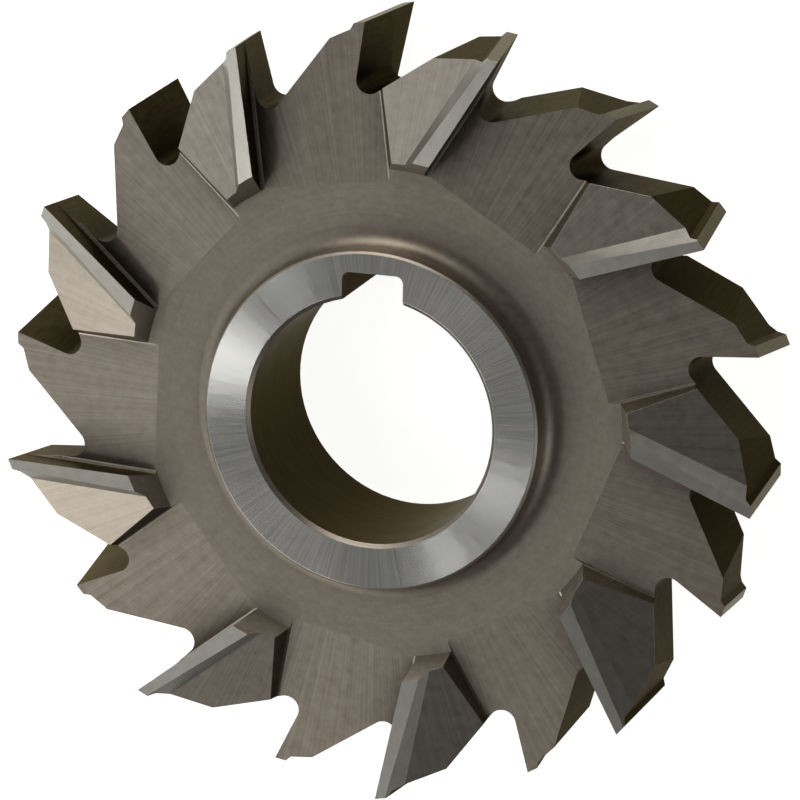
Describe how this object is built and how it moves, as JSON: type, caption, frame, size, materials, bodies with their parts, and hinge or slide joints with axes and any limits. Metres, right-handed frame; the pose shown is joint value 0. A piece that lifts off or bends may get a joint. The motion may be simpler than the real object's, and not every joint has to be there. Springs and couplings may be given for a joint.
{
  "type": "side and face milling cutter",
  "caption": "Side and face milling cutter with staggered teeth, a recessed web and a keyed bore for an arbor.",
  "frame": {"origin": "on the bore's axis at the lower hub face", "axes": "+Z along the bore's axis, +Y towards the keyway"},
  "size_m": [0.0994, 0.1, 0.02],
  "materials": {
    "cutter_steel": "ground and milled"
  },
  "bodies": {
    "root": {"cutter_body": "cutter_steel"}
  },
  "joints": []
}
